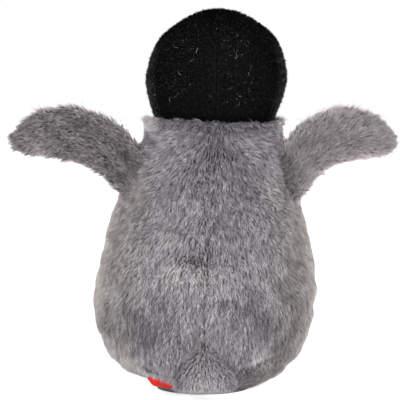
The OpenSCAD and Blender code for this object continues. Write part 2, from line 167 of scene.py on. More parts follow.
def new_mesh(name, points, faces, materials, slots=None):
    """A mesh object from points in millimetres and a list of face arrays, each with one face size."""
    mesh = bpy.data.meshes.new(name)
    corners = np.concatenate([f.ravel() for f in faces]).astype(np.int32)
    sizes = np.concatenate([np.full(len(f), f.shape[1]) for f in faces]).astype(np.int32)
    mesh.vertices.add(len(points))
    mesh.vertices.foreach_set("co", (np.asarray(points) / 1000).astype(np.float32).ravel())
    mesh.loops.add(len(corners))
    mesh.loops.foreach_set("vertex_index", corners)
    mesh.polygons.add(len(sizes))
    mesh.polygons.foreach_set("loop_start", np.concatenate([[0], np.cumsum(sizes)[:-1]]).astype(np.int32))
    for m in materials:
        mesh.materials.append(m)
    if slots is not None:
        mesh.polygons.foreach_set("material_index", np.concatenate(slots).astype(np.int32))
    mesh.polygons.foreach_set("use_smooth", np.full(len(sizes), True))
    mesh.update(calc_edges=True)
    piece = bpy.data.objects.new(name, mesh)
    scene.collection.objects.link(piece)
    return piece


def grid_faces(nu, nv, wrap=False):
    """Quads of a grid of nv + 1 rows; a wrapped grid has nu points a row, the others nu + 1."""
    i, j = np.meshgrid(np.arange(nv), np.arange(nu), indexing="ij")
    row = nu if wrap else nu + 1
    k = (j + 1) % nu if wrap else j + 1
    quad = np.stack([i * row + j, i * row + k, (i + 1) * row + k, (i + 1) * row + j], -1)
    return quad.reshape(-1, 4)


def between(start, end):
    """A stretch round a form, from one seam to another; each is an angle or a function of v."""
    line = lambda seam, v: seam(v) if callable(seam) else seam + 0 * v
    return lambda v: (line(start, v), line(end, v))


def skin(name, place, span, v0, v1, nu, nv, material, out=1):
    """A sheet of cloth over place(a, v), where span gives its two seams; out is -1 where place runs the
    other way round."""
    v = np.linspace(v0, v1, nv + 1)
    lo, hi = span(v)
    a = lo[:, None] + (hi - lo)[:, None] * np.linspace(0, 1, nu + 1)[None]
    points = place(a, np.repeat(v[:, None], nu + 1, 1))
    return new_mesh(name, points.reshape(-1, 3), [grid_faces(nu, nv)[:, ::out]], [material])


def tube(name, rings, material, out=1):
    """A closed form through rings of points, with a flat face at each end."""
    rings = np.asarray(rings)
    n = rings.shape[1]
    ends = [np.arange(n)[None, ::-1], np.arange(n)[None] + (len(rings) - 1) * n]
    faces = [grid_faces(n, len(rings) - 1, True)[:, ::out]] + [e[:, ::out] for e in ends]
    return new_mesh(name, rings.reshape(-1, 3), faces, [material])


# ---------- how a piece belongs to the frame ----------


def ride(piece, body, bend=None):
    """A piece that rides on a body; when bend is given, its place is only baked into its mesh and it is not
    attached.
    """
    if bend is None:
        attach(piece, body)
    else:
        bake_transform(piece)


def soft(piece, node, body, bend=None):
    """A soft piece in the place of a CAD node, which it hides."""
    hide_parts(node)
    ride(piece, body, bend)


def grow(pieces, body, bend=None):
    """Pieces of pile that belong to a body."""
    for piece in pieces:
        ride(piece, body, bend)


# ---------- materials ----------


def srgb(shown):
    """Linear colour of a display colour given in 0 to 255."""
    c = np.array(shown) / 255
    return tuple(float(x) for x in np.where(c <= 0.04045, c / 12.92, ((c + 0.055) / 1.055) ** 2.4))


def dial(node, values):
    for name, value in values.items():
        node.inputs[name].default_value = value


def principled(name, color, rough, sheen=0.0, specular=0.3, coat=0.0):
    m = bpy.data.materials.new(name)
    m.use_nodes = True
    dial(m.node_tree.nodes["Principled BSDF"], {
        "Base Color": (*color, 1), "Roughness": rough, "Specular IOR Level": specular,
        "Sheen Weight": sheen, "Sheen Roughness": 0.4, "Coat Weight": coat,
    })
    m.diffuse_color = (*color, 1)
    return m


def textured(name, dark, light, rough, scale, pattern="NOISE", depth=0.25, size=0.0003, rough_range=0.15,
             **more):
    """A material whose colour, roughness and bump follow one procedural pattern, between two display
    colours. scale is the number of pattern cells in a metre; size is the height of the bump in metres."""
    dark, light = srgb(dark), srgb(light)
    m = principled(name, light, rough, **more)
    nodes, links = m.node_tree.nodes, m.node_tree.links
    shader = nodes["Principled BSDF"]
    where = nodes.new("ShaderNodeTexCoord")
    if pattern == "NOISE":
        tex = nodes.new("ShaderNodeTexNoise")
        dial(tex, {"Scale": scale, "Detail": 6})
    elif pattern == "CELLS":
        tex = nodes.new("ShaderNodeTexVoronoi")
        dial(tex, {"Scale": scale})
    else:
        tex = nodes.new("ShaderNodeTexWave")
        tex.wave_type = "BANDS"
        tex.bands_direction = pattern
        dial(tex, {"Scale": scale, "Distortion": 0.8, "Detail": 2})
    out = tex.outputs["Distance" if pattern == "CELLS" else "Fac"]
    links.new(where.outputs["Object"], tex.inputs["Vector"])
    ramp = nodes.new("ShaderNodeValToRGB")
    for stop, position, color in zip(ramp.color_ramp.elements, (0.3, 0.75), (dark, light)):
        stop.position = position
        stop.color = (*color, 1)
    links.new(out, ramp.inputs["Fac"])
    links.new(ramp.outputs["Color"], shader.inputs["Base Color"])
    spread = nodes.new("ShaderNodeMapRange")
    dial(spread, {"To Min": rough - rough_range / 2, "To Max": min(rough + rough_range / 2, 1)})
    links.new(out, spread.inputs["Value"])
    links.new(spread.outputs["Result"], shader.inputs["Roughness"])
    relief = nodes.new("ShaderNodeBump")
    dial(relief, {"Strength": depth, "Distance": size})
    links.new(out, relief.inputs["Height"])
    links.new(relief.outputs["Normal"], shader.inputs["Normal"])
    return m


# ---------- pile ----------

BIGGEST = 190_000  # triangles in one piece of pile
FLOOR_GAP = 0.15  # pile that reaches the floor lies on it


def tones(name, low, high, count, root=0.55, tip=1.12, rough=0.75, sheen=0.25, specular=0.2):
    """Materials for blades, in shades from low to high: a root, a middle and a tip of each shade. The root's
    gain darkens it as painted shade between the blades, and the tip's gain lightens it as painted light.
    """
    made = []
    for part, gain in (("root", root), ("mid", 1.0), ("tip", tip)):
        for i in range(count):
            c = np.minimum(mix(np.array(low), np.array(high), i / max(count - 1, 1)) * gain, 255)
            made.append(principled(f"{name}_{part}_{i + 1}", srgb(c), rough, sheen, specular))
    return made, count


def pile(name, root, normal, flow, length, look, blades=6, spread=0.44, width=0.21, rise=(64, 20),
         gather=0.8, stray=0.06, wander=12, levels=2, shade=None):
    """Tufts of blades at roots in millimetres, in pieces of a bearable size. flow is the way the nap runs;
    rise is the angle of a tuft from the cloth at its root and at its tip, in degrees; gather is how far its
    blades meet at the tip; shade is each tuft's place among the shades of the look, from 0 to 1."""
    materials, shades = look
    m = len(root)
    each = blades * (2 * levels - 1)
    parts = max(1, math.ceil(m * each / BIGGEST))
    if parts > 1:
        made = []
        for i, pick in enumerate(np.array_split(np.arange(m), parts)):
            pick_shade = None if shade is None else shade[pick]
            pick_rise = tuple(r[pick] if isinstance(r, np.ndarray) else r for r in rise)
            made += pile(f"{name}_{i + 1}", root[pick], normal[pick], flow[pick], length[pick], look, blades,
                         spread, width, pick_rise, gather, stray, wander, levels, pick_shade)
        return made
    flow = unit(flow - normal * (flow * normal).sum(-1, keepdims=True))
    flow = turned(flow, normal, np.radians(rng.normal(0, wander, m)))
    bend = np.radians(rng.normal(0, wander, m))
    rise_root = np.radians(rise[0] + rng.normal(0, 7, m))
    rise_tip = np.radians(rise[1] + rng.normal(0, 6, m))
    # The guide of each tuft, from the root to the tip.
    guide = [root]
    for k in range(levels):
        u = (k + 0.5) / levels
        angle = mix(rise_root, rise_tip, u**0.8)[:, None]
        along = turned(flow, normal, bend * u)
        step = (normal * np.sin(angle) + along * np.cos(angle)) * (length / levels)[:, None]
        guide.append(guide[-1] + step)
    guide = np.stack(guide, 1)
    side = np.cross(flow, normal)
    # The blades round each guide.
    n = m * blades
    own = np.repeat(np.arange(m), blades)
    r = spread * np.sqrt(rng.random(n))[:, None]
    a = rng.uniform(0, 2 * math.pi, n)[:, None]
    offset = flow[own] * r * np.cos(a) + side[own] * r * np.sin(a)
    reach = rng.uniform(0.78, 1.06, n)[:, None]
    drift = rng.normal(0, 1, (n, 3)) * (stray * length[own])[:, None]
    line = []
    for k in range(levels + 1):
        u = k / levels
        grown = (guide[own, k] - root[own]) * reach
        line.append(root[own] + grown + offset * (1 - gather * u**1.2) + drift * u**1.6)
    line = np.stack(line, 1)
    heading = unit(line[:, 1:] - line[:, :-1])
    roll = rng.uniform(-1.1, 1.1, n)
    points = np.empty((n, 2 * levels + 1, 3))
    for k in range(levels):
        across = turned(unit(np.cross(heading[:, k], normal[own])), heading[:, k], roll)
        half = 0.5 * width * (1 - 0.75 * (k / levels) ** 1.5)
        points[:, 2 * k] = line[:, k] - across * half
        points[:, 2 * k + 1] = line[:, k] + across * half
    points[:, -1] = line[:, -1]
    points[..., 2] = np.maximum(points[..., 2], FLOOR_GAP)
    base = (np.arange(n) * (2 * levels + 1))[:, None]
    k = np.arange(levels - 1) * 2
    quads = (base[:, :, None] + (k[:, None] + np.array([0, 1, 3, 2]))[None]).reshape(-1, 4)
    tips = base + np.array([2 * levels - 2, 2 * levels - 1, 2 * levels])
    if shade is None:
        shade = rng.random(m)
    tone = np.clip((shade * shades).astype(int), 0, shades - 1)[own]
    part = np.minimum(np.arange(levels - 1), 1)
    slots = [(part[None] * shades + tone[:, None]).ravel(), 2 * shades + tone]
    return [new_mesh(name, points.reshape(-1, 3), [quads, tips], materials, slots)]


def scatter(place, span, v0, v1, spacing):
    """Places (a, v) spread evenly, one in each cell of a jittered grid, over place(a, v)."""
    v = np.linspace(v0, v1, 200)
    lo, hi = span(v)
    middle = place((lo + hi) / 2, v)
    arc = np.concatenate([[0], np.cumsum(np.linalg.norm(np.diff(middle, axis=0), axis=1))])
    rows = max(2, int(arc[-1] / spacing))
    found = []
    for i in range(rows):
        row_at = (i + 0.5) / rows * arc[-1]
        row_v = np.interp(row_at, arc, v)
        lo, hi = span(np.array([row_v]))
        a = np.linspace(lo[0], hi[0], 60)
        across = place(a, np.full(60, row_v))
        run = np.concatenate([[0], np.cumsum(np.linalg.norm(np.diff(across, axis=0), axis=1))])
        n = max(1, int(run[-1] / spacing))
        at = (np.arange(n) + rng.random(n)) / n * run[-1]
        jitter = (rng.random(n) - 0.5) / rows * arc[-1]
        found.append(np.stack([np.interp(at, run, a), np.interp(row_at + jitter, arc, v)], 1))
    return np.concatenate(found).T


def frame_at(place, a, v, da=0.5, dv=0.002):
    """Point, outward normal, direction of growing a and direction of growing v."""
    p = place(a, v)
    ta = unit(place(a + da, v) - place(a - da, v))
    tv = unit(place(a, np.minimum(v + dv, 1)) - place(a, np.maximum(v - dv, 0)))
    return p, unit(np.cross(ta, tv)), ta, tv


def rings_in(place, a, levels, depth=0):
    """Rings of place at these levels, brought in by a depth."""
    around = (frame_at(place, a, np.full(len(a), v)) for v in levels)
    return [p - depth * n for p, n, _, _ in around]


# The pile's length in millimetres.
BODY_PILE, COLLAR_PILE, TAIL_PILE, FLIPPER_PILE = 6.2, 4.4, 6.4, 5.8
HOOD_PILE, FACE_PILE, FOOT_PILE = 1.9, 3.4, 1.7
BODY_GAP, BELLY_GAP = 0.84, 0.98  # from tuft to tuft


# ---------- torso ----------

BACK, FRONT = 90, 270  # directions round the toy, in degrees from its left side
BELLY_SEAM = -35
SEAM_W = 2.2
# Shares of the torso's height, width, front, back and lean, from the base to the neck.
TORSO_SHAPE = [
    [0.030, 0.555, 0.580, 0.630, 0],
    [0.080, 0.765, 0.745, 0.780, 0],
    [0.170, 0.912, 0.910, 0.915, 0.02],
    [0.330, 1.000, 1.000, 1.000, 0.14],
    [0.500, 0.946, 0.945, 0.935, 0.32],
    [0.675, 0.853, 0.825, 0.835, 0.50],
    [0.830, 0.715, 0.720, 0.765, 0.72],
    [0.930, 0.636, 0.655, 0.725, 0.92],
]
TORSO_SIZE = np.array([NECK_Z, TORSO_W / 2, TORSO_FRONT, TORSO_BACK, LEAN])
TORSO_ROWS = np.array(
    [[0, BASE_R, BASE_R, BASE_R, 0]]
    + [TORSO_SIZE * shares for shares in TORSO_SHAPE]
    + [[NECK_Z, COLLAR_R, COLLAR_R, COLLAR_R, LEAN]]
)
GUSSET_TOP = 2 / (len(TORSO_ROWS) - 1)
PILE_DEEP = 4.9  # from the tips of the lying pile to the cloth


def torso_outer(a, v):
    """The outline of the torso with its pile, at angle a and at level v from 0 to 1."""
    z, half, front, back, lean = np.moveaxis(through(TORSO_ROWS, v), -1, 0)
    c, s = np.cos(np.radians(a)), np.sin(np.radians(a))
    return np.stack([half * c - lean, np.where(s > 0, back, front) * s, z], -1)


def side_seam(v):
    """The seam between the back and the left side."""
    return mix(49, 21, ease((v - 0.6) / 0.22))


def right_seam(v):
    return 180 - side_seam(v)


def seam_dip(a, v):
    """How much the seams pull the cloth in, from 0 to 1 at the seam's own line."""
    turn = np.maximum(through(TORSO_ROWS, v)[..., 1], 18) / 60
    near = 0
    belly_seams = ((BELLY_SEAM, 0.6), (180 - BELLY_SEAM, 0.6))
    for line, share in ((BACK, 1), (side_seam(v), 0.3), (right_seam(v), 0.3), *belly_seams):
        near = np.maximum(near, share * bump(wrapped(np.asarray(a) - line) * turn, SEAM_W))
    return near * (np.asarray(v) > GUSSET_TOP)


def crease_height(x, z):
    """Height above the crease across the middle of the back."""
    return z - 90 - 0.16 * x


def collar_drop(a, x):
    """How much lower the right half of the collar sits."""
    return 1.5 * ease(np.sin(np.radians(a)) / 0.3) * ease((3 - x) / 6)


# Soft spots on the torso: amount, x, half width, z, half height.
FOLDS = [
    (1.2, -18, 10, 88, 3),
    (1.3, -14, 8, 65, 1.6),
    (2.4, -1, 1.6, 40, 7),
]
LUMPS = [
    (1.5, 5, 26, 79, 7),
    (6.0, 26, 12, 24, 7),  # the fold that hangs over the label
    (1.4, -33, 12, 16, 10),
]
LOW_LUMPS = [
    (1.8, -44, 12, 8, 7),
    (-4.2, 38, 15, 5, 7),
]
# Tone changes of the pile: the rows at z 95 and 87 are painted shadow above and in the crease, the row at z
# 82 painted light below it, and the row at z 63 painted shade in the dimple.
SHADES = [
    (0.10, 22, 15, 142, 16),  # the left shoulder
    (-0.10, 0, 30, 95, 4),
    (-0.14, -16, 9, 87, 2.5),
    (0.13, 0, 20, 82, 7),
    (-0.08, -14, 7, 63, 2),
    (-0.17, -40, 15, 55, 24),
    (0.10, -14, 9, 54, 7),
    (0.10, -5, 13, 52, 9),
    (-0.26, 33, 17, 46, 15),
    (0.16, -42, 9, 22, 9),
]


def spots(places, x, z):
    return sum(amount * bump(x - x0, wide) * bump(z - z0, tall) for amount, x0, wide, z0, tall in places)


def torso_skin(a, v):
    """The cloth under the pile, with its seams, folds and lumps."""
    p, n, _, _ = frame_at(torso_outer, a, v)
    back = clamp01(np.sin(np.radians(a)))
    x, z = p[..., 0], p[..., 2]
    deep = PILE_DEEP * mix(1, 0.35, ease((v - 0.94) / 0.06)) * mix(0.55, 1, ease((z - 3) / 14))
    fold = (3.4 * bump(crease_height(x, z), 1.6) * bump(x - 7, 9) + spots(FOLDS, x, z)) * back
    lump = 1.3 * waves(p, 46, 3) + 0.6 * waves(p, 21, 4)
    lump += spots(LUMPS, x, z) * back + spots(LOW_LUMPS, x, z)
    p = p - n * (deep + 1.7 * seam_dip(a, v) + fold - lump)[..., None]
    p[..., 2] -= collar_drop(a, x) * ease((v - 0.9) / 0.1)
    return p


grey_look = tones("grey_pile", (84, 81, 86), (203, 198, 199), 9)
side_look = tones("side_pile", (84, 80, 81), (194, 187, 183), 9, root=0.68)
pale_look = tones("pale_pile", (176, 171, 170), (226, 222, 219), 4)
backing = textured("grey_backing", (52, 50, 52), (72, 70, 72), 0.9, 2600, size=0.0002)
pale_backing = textured("pale_backing", (150, 146, 145), (176, 172, 170), 0.9, 2600, size=0.0002)
wadding = textured("wadding", (196, 195, 192), (232, 231, 228), 0.95, 900, depth=0.6, size=0.001)
facing = textured("neck_facing", (40, 39, 41), (60, 58, 61), 0.9, 3000, size=0.0002)


def neck_aside(a, left, right, soft_over):
    """Where the pile at the sides of the neck is pale, from 0 to 1: from these angles off the back."""
    aside = np.abs(wrapped(a - BACK))
    starts = np.where(np.cos(np.radians(a)) > 0, left, right)
    return ease((aside - starts) / soft_over) * ease((140 - aside) / 20)


def torso_pile(name, span, v0, v1, front=False):
    """The pile of one torso panel: grey, or pale in front and at the sides of the neck."""
    a, v = scatter(torso_outer, span, v0, v1, BELLY_GAP if front else BODY_GAP)
    p, n, ta, tv = frame_at(torso_skin, a, v, 1.0, 0.004)
    # The middle seam shows as a thin line that is bare here and there.
    from_middle = wrapped(a - (FRONT if front else BACK))
    run = np.radians(np.abs(from_middle)) * through(TORSO_ROWS, v)[:, 1]
    seam_shows = ease((108 - p[:, 2]) / 8)
    seam_half = 0.25 + (0.25 + 0.3 * waves(p, 16, 23) + 1.1 * bump(p[:, 2] - 38, 5)) * seam_shows
    kept = (run >= seam_half) | front
    a, v, p, n, ta, tv, from_middle, run, seam_shows = (
        each[kept] for each in (a, v, p, n, ta, tv, from_middle, run, seam_shows))
    x, z = p[:, 0], p[:, 2]
    back = clamp01(np.sin(np.radians(a)))
    aside = np.abs(wrapped(a - BACK))
    # The nap runs down and outwards from a crown in the middle of the neck.
    turn = np.arctan2(run, np.maximum(NECK_Z + 12 - z, 8))
    turn = turn * (mix(0.3, 0.55, ease((z - 70) / 50)) + 0.5 * ease((z - 140) / 25))
    turn += np.radians(13) * bump(run, 2.5) * seam_shows * (not front)
    flow = -tv * np.cos(turn)[:, None] + ta * (np.sign(from_middle) * np.sin(turn))[:, None]
    # It is combed low on the back, and gathers in locks higher up.
    locks = ease((z - 88) / 30)
    flow = turned(flow, n, np.radians(7) * waves(p, 30, 11) + np.radians(mix(3, 13, locks)) * waves(p, 7, 12))
    collar = ease((v - 0.95) / 0.04)
    neck_side = bump(z - 172, 6) * neck_aside(a, 48, 60, 14)
    to_side = ease((aside - 32) / 24) * ease((150 - z) / 20)
    length = BODY_PILE * (1 - 0.25 * seam_dip(a, v)) * rng.uniform(0.8, 1.15, len(a)) * (1 - 0.25 * collar)
    length = length * mix(0.6, 1, ease((z - 3) / 12)) * (1 + 0.2 * neck_side)
    # A place right of the tail is trimmed short, and longer pile hangs over its upper edge.
    above = z - 16.5 + 0.32 * x
    beside = ease((-x - 21) / 3) * ease((x + 54) / 6) * ease((z - 2) / 5) * back
    trimmed_and_shaded = beside * ease(-above / 3)
    length = length * (1 - 0.6 * trimmed_and_shaded) * (1 + 0.25 * beside * bump(above - 2, 2.5))
    # The upper back is darker, and painted shade darkens the trimmed place under the pile that hangs over it.
    shade = 0.43 - 0.15 * ease((z - 95) / 60) * back - 0.26 * trimmed_and_shaded
    shade += 0.07 * waves(p, 24, 21) + 0.06 * waves(p, 7, 22)
    shade += rng.normal(0, 0.12, len(a)) * (1 - 0.3 * to_side)
    # Ribs of tufts run down the lower back, and the locks of the upper back differ in tone.
    shade += mix(0.13 * waves(p * [1, 1, 0.16], 2.8, 24), 0.11 * waves(p * [1, 1, 0.5], 4, 26), locks)
    shade += (spots(SHADES, x, z) - 0.10 * bump(z - 50, 12)) * back
    # Painted shade darkens the pile along the seam and in the crease.
    shade -= 0.12 * bump(run, 1.2) * seam_shows * back
    shade -= 0.2 * bump(crease_height(x, z), 1.2) * bump(x - 7, 7) * back
    # Painted light brightens the lower edge of the left side and both outlines.
    shade += 0.16 * bump(z - 14, 12) * ease((x - 30) / 20)
    shade += (0.13 + 0.12 * bump(z - 48, 20) * (x < 0)) * ease((aside - 62) / 16) * ease((146 - z) / 16)
    # The sides of the neck are paler. Painted shade darkens the pile at the collar, under the pale pile, and
    # where the right flipper leaves the body.
    shade += 0.26 * neck_side
    shade -= (0.13 + 0.06 * (x < -25)) * ease((z - 162) / 8) * (1 - neck_side) * back
    shade -= 0.16 * bump(z - 160, 6) * ease((aside - 45) / 10)
    shade -= 0.28 * bump(x + 50 + 0.21 * (169 - z), 3.5) * ease((z - 126) / 8)
    combed = back * (1 - locks) * (1 - to_side)
    standing = np.maximum(neck_side, collar)
    rise = (64 + 12 * standing - 16 * combed, 20 + 26 * standing - 9 * combed)
    if front:
        grow(pile(name, p, n, flow, length, pale_look, rise=rise), "torso")
        return
    # The grey turns warmer towards the sides, tuft by tuft.
    warm = rng.random(len(a)) < to_side
    for look, pick, ending in ((grey_look, ~warm, ""), (side_look, warm, "_warm")):
        if pick.any():
            grow(pile(name + ending, p[pick], n[pick], flow[pick], length[pick], look, wander=9,
                      rise=tuple(r[pick] for r in rise), shade=shade[pick]), "torso")


def neck_ring(a, r, k):
    """A ring of the hollow that the head turns in: r from its pivot and k degrees up from the bottom."""
    c, s, k = np.cos(np.radians(a)), np.sin(np.radians(a)), math.radians(k)
    ring = PIVOT + r * np.stack([math.sin(k) * c, math.sin(k) * s, np.full(len(a), -math.cos(k))], -1)
    ring[:, 2] -= 1.3 * collar_drop(a, ring[:, 0])
    return ring


def torso():
    panels = {
        "back_panel_left": (side_seam, BACK, GUSSET_TOP, 1),
        "back_panel_right": (BACK, right_seam, GUSSET_TOP, 1),
        "side_panel_left": (BELLY_SEAM, side_seam, GUSSET_TOP, 1),
        "side_panel_right": (right_seam, 180 - BELLY_SEAM, GUSSET_TOP, 1),
        "belly_panel": (180 - BELLY_SEAM, 360 + BELLY_SEAM, GUSSET_TOP, 1),
        "base_gusset_left": (-90, BACK, 0, GUSSET_TOP),
        "base_gusset_right": (BACK, FRONT, 0, GUSSET_TOP),
    }
    for node, (start, end, v0, v1) in panels.items():
        front = node == "belly_panel"
        span = between(start, end)
        cloth = skin(node + "_cloth", torso_skin, span, v0, v1, 60, 90, pale_backing if front else backing)
        soft(cloth, node, "torso")
        torso_pile(node + "_pile", span, max(v0, 0.012), v1, front)

    # The filling, with the hollow that the head sits in.
    a = np.arange(0, 360, 6.0)
    rings = rings_in(torso_skin, a, np.linspace(0.04, 0.93, 30), 3)
    rings += [neck_ring(a, NECK_R + 1.6, k) for k in range(43, 0, -7)]
    soft(tube("torso_filling", rings, wadding), "torso_stuffing", "torso")

    # The cloth of the collar turned in round the neck.
    edge = torso_skin(a, np.full(len(a), 1.0))
    lip = [edge] + [neck_ring(a, NECK_R - 0.8, k) for k in (57, 53, 48, 42, 37)]
    faces = [grid_faces(len(a), len(lip) - 1, True)]
    turned_in = new_mesh("collar_facing", np.concatenate(lip), faces, [facing])
    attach(turned_in, "torso")
    collar_roll()


def collar_roll():
    """The pile that stands round the neck's edge in soft clumps, pale at both sides."""
    n = 2600
    a = rng.uniform(0, 360, n)
    lift = np.radians(rng.uniform(0, 70, n))[:, None]
    edge, out, along, _ = frame_at(torso_skin, a, np.full(n, 0.995), 1.0, 0.004)
    out = unit(out * [1, 1, 0])
    normal = out * np.cos(lift) + UP * np.sin(lift)
    root = edge - out * (0.9 * np.sin(lift)) - UP * 0.6
    flow = along * rng.normal(0, 0.5, n)[:, None] + out * np.sin(lift) - UP * np.cos(lift)
    # The left half stands a little higher, and the edge rises and falls in clumps.
    height = 1.05 + 0.42 * waves(edge, 5, 31) + 0.08 * np.tanh(edge[:, 0] / 4) * (edge[:, 1] > 0)
    length = COLLAR_PILE * rng.uniform(0.7, 1.1, n) * np.maximum(height, 0.15)
    pale = neck_aside(a, 50, 62, 12)
    # Its low tone is painted shade under the head; the paler sides are the pile's own colour.
    shade = 0.22 + 0.1 * waves(edge, 6, 32) + rng.normal(0, 0.1, n) + 0.40 * pale
    grow(pile("collar_roll", root, normal, flow, length * (1 + 0.3 * pale), grey_look, spread=0.6,
              rise=(82, 34), gather=0.7, wander=25, shade=shade), "torso")


# ---------- flippers ----------

# Along the flipper: distance from the seam, height of the middle, half width, half thickness.
FLIPPER_SHAPE = [
    [-0.22, -7.0, 0.500, 0.75],
    [-0.09, -3.4, 0.510, 0.65],
    [0.01, 0.5, 0.500, 0.60],
    [0.19, 7.8, 0.480, 0.80],
    [0.39, 10.5, 0.475, 0.97],
    [0.58, 9.5, 0.480, 1.00],
    [0.74, 5.8, 0.440, 0.94],
    [0.87, 2.2, 0.380, 0.80],
    [0.96, -2.3, 0.240, 0.55],
    [1.00, -3.3, 0.080, 0.22],
]
FLIPPER_L, FLIPPER_SEAM, FLIPPER_H = 79, 39.5, 8
FLIPPER_ROWS = np.array(FLIPPER_SHAPE) * [FLIPPER_L, 1, FLIPPER_SEAM, FLIPPER_H]
# How far each flipper stands to the back, in degrees; below 0 is to the front.
RESTS = {"left": 0, "right": -26}
flipper_look = tones("flipper_pile", (70, 67, 71), (198, 188, 186), 9)


def flipper_place(side, inset):
    """The flipper's surface as place(b, v): b is 0 at its upper edge and 90 at its back."""
    hinge = joint(f"{side}_flipper_swing")
    tilt = math.asin(hinge["axis"][0])
    rest = math.radians(RESTS[side])
    mirror = 1 if side == "left" else -1

    def place(b, v):
        x, middle, half, thick = np.moveaxis(through(FLIPPER_ROWS, v), -1, 0)
        # The root runs straight into the body, and the rest is swept to the front or the back.
        swept = rest * ease((x + 9) / 13)
        b = np.radians(b)
        x = x - inset * 0.8 * clamp01(v) ** 3
        y = np.maximum(thick - inset * 0.75, 0.8) * np.sin(b)
        z = middle + np.maximum(half - inset, 1.0) * np.cos(b)
        x, y = x * np.cos(swept) - y * np.sin(swept), x * np.sin(swept) + y * np.cos(swept)
        x, z = x * math.cos(tilt) - z * math.sin(tilt), x * math.sin(tilt) + z * math.cos(tilt)
        return np.stack([x * mirror, y, z], -1) + hinge_at(f"{side}_flipper_swing")

    return place


def flipper_pile(name, side, cloth_at, b0, b1, sign):
    right = side == "right"
    b, v = scatter(cloth_at, between(b0, b1), 0.07, 0.995, 0.8)
    # Some pile at the root leans over the seam to the body.
    more = 160
    b = np.concatenate([b, rng.uniform(b0, b1, more)])
    v = np.concatenate([v, rng.uniform(0.12, 0.2, more)])
    over_seam = (np.arange(len(b)) >= len(b) - more).astype(float)
    p, n, _, tv = frame_at(cloth_at, b, v, 2.0, 0.01)
    n = n * sign
    up = np.cos(np.radians(b))
    edge, lower, upper = np.abs(up), clamp01(-up), clamp01(up)
    # The pile of the lower edge hangs down. On the right flipper the rest is brushed upwards.
    brushed = 0.75 * (1 - lower) * ease((0.85 - v) / 0.35) * right
    hang = -UP * (0.5 * lower**2 + 0.4 * over_seam - brushed)[:, None]
    flow = unit(tv * (1 - 1.9 * over_seam)[:, None] + hang)
    # The left one is tousled near its root, and the right one lies smooth.
    tousled = 0.5 if right else 1 + 1.2 * ease((0.42 - v) / 0.2)
    flow = turned(flow, n, np.radians(12) * waves(p, 22, 7) + np.radians(12) * tousled * waves(p, 6, 8))
    tip = ease((v - 0.75) / 0.2)
    feathered = np.maximum(edge**3, tip) * (0.35 * waves(p, 4, 19) + 0.22 * rng.normal(0, 1, len(b)))
    length = FLIPPER_PILE * rng.uniform(0.8, 1.15, len(b)) * (1 - 0.1 * upper) * (1.15 if right else 1)
    length = length * np.clip(1 + feathered, 0.5, 1.6)
    grain = 0.085 if right else 0.13
    shade = 0.35 + 0.30 * edge**6 + 0.7 * grain * waves(p, 14, 9) + rng.normal(0, grain, len(b))
    shade += 0.4 * grain * waves(p, 4.5, 20) + 0.12 * tip
    # Painted light makes the right flipper a little lighter and the left a little darker, and painted shade
    # darkens the right one near its root.
    shade += 0.05 - 0.22 * bump(v - 0.1, 0.06) if right else -0.05
    return pile(name, p, n, flow, length, flipper_look, rise=(64, 18 + 16 * over_seam), shade=shade,
                stray=0.09, wander=9 if right else 15)


def flipper(side):
    hinge = hinge_at(f"{side}_flipper_swing")
    body = f"{side}_flipper"
    sign = -1 if side == "left" else 1
    cloth_at = flipper_place(side, 3.6)
    out = unit((cloth_at(np.array([0.0]), np.array([0.6]))[0] - hinge) * np.array([1, 1, 0]))
    bend = (hinge - out * 4, hinge + out * 8)
    for half, b0, b1 in (("back", 0, 180), ("front", 180, 360)):
        node = f"flipper_{half}_{side}"
        cloth = skin(node + "_cloth", cloth_at, between(b0, b1), 0, 1, 24, 50, backing, sign)
        soft(cloth, node, body, bend)
        grow(flipper_pile(node + "_pile", side, cloth_at, b0, b1, sign), body, bend)
    rings = rings_in(flipper_place(side, 5.2), np.arange(0, 360, 15.0), np.linspace(0.2, 0.95, 16))
    filling = tube(f"flipper_filling_{side}", rings, wadding, sign)
    soft(filling, f"flipper_stuffing_{side}", body, bend)


# ---------- head ----------

# Shares of the head's height above the neck, and of its width, front and back.
HEAD_SHAPE = [
    [0.120, 0.912, 0.903, 0.921],
    [0.265, 0.974, 0.968, 0.978],
    [0.425, 1.000, 1.000, 1.000],
    [0.585, 0.954, 0.957, 0.955],
    [0.745, 0.826, 0.828, 0.831],
    [0.880, 0.582, 0.581, 0.584],
    [0.970, 0.290, 0.290, 0.292],
]
BALL_R = NECK_R - 1.2
SKIRT_ANGLES = np.radians([46, 52])  # of the rings inside the collar, up from the ball's bottom
HEAD_SIZE = np.array([HEAD_W / 2, HEAD_FRONT, HEAD_BACK])
HEAD_ROWS = np.array(
    [[PIVOT[2] - BALL_R * math.cos(k), *[BALL_R * math.sin(k)] * 3] for k in SKIRT_ANGLES]
    + [[mix(NECK_Z, CROWN_Z, share), *(HEAD_SIZE * shares)] for share, *shares in HEAD_SHAPE]
    + [[CROWN_Z, 1.5, 1.5, 1.5]]
)
HEAD_LEVELS = 2 * (len(HEAD_ROWS) - 1)
FACE_TOP = 11 / HEAD_LEVELS
BEAK_LEVEL = 8 / HEAD_LEVELS
EAR_SEAM, FACE_SEAM, NOSE_HALF = 25, -20, 14
HEAD_SEAM_W = 0.9
HEAD_LEAN = 2.6  # how far the crown stands to the right of the neck


def head_outer(a, v):
    z, half, front, back = np.moveaxis(through(HEAD_ROWS, v), -1, 0)
    c, s = np.cos(np.radians(a)), np.sin(np.radians(a))
    aside = HEAD_LEAN * clamp01((z - NECK_Z) / (CROWN_Z - NECK_Z))
    return np.stack([half * c + PIVOT[0] - aside, np.where(s > 0, back, front) * s, z], -1)


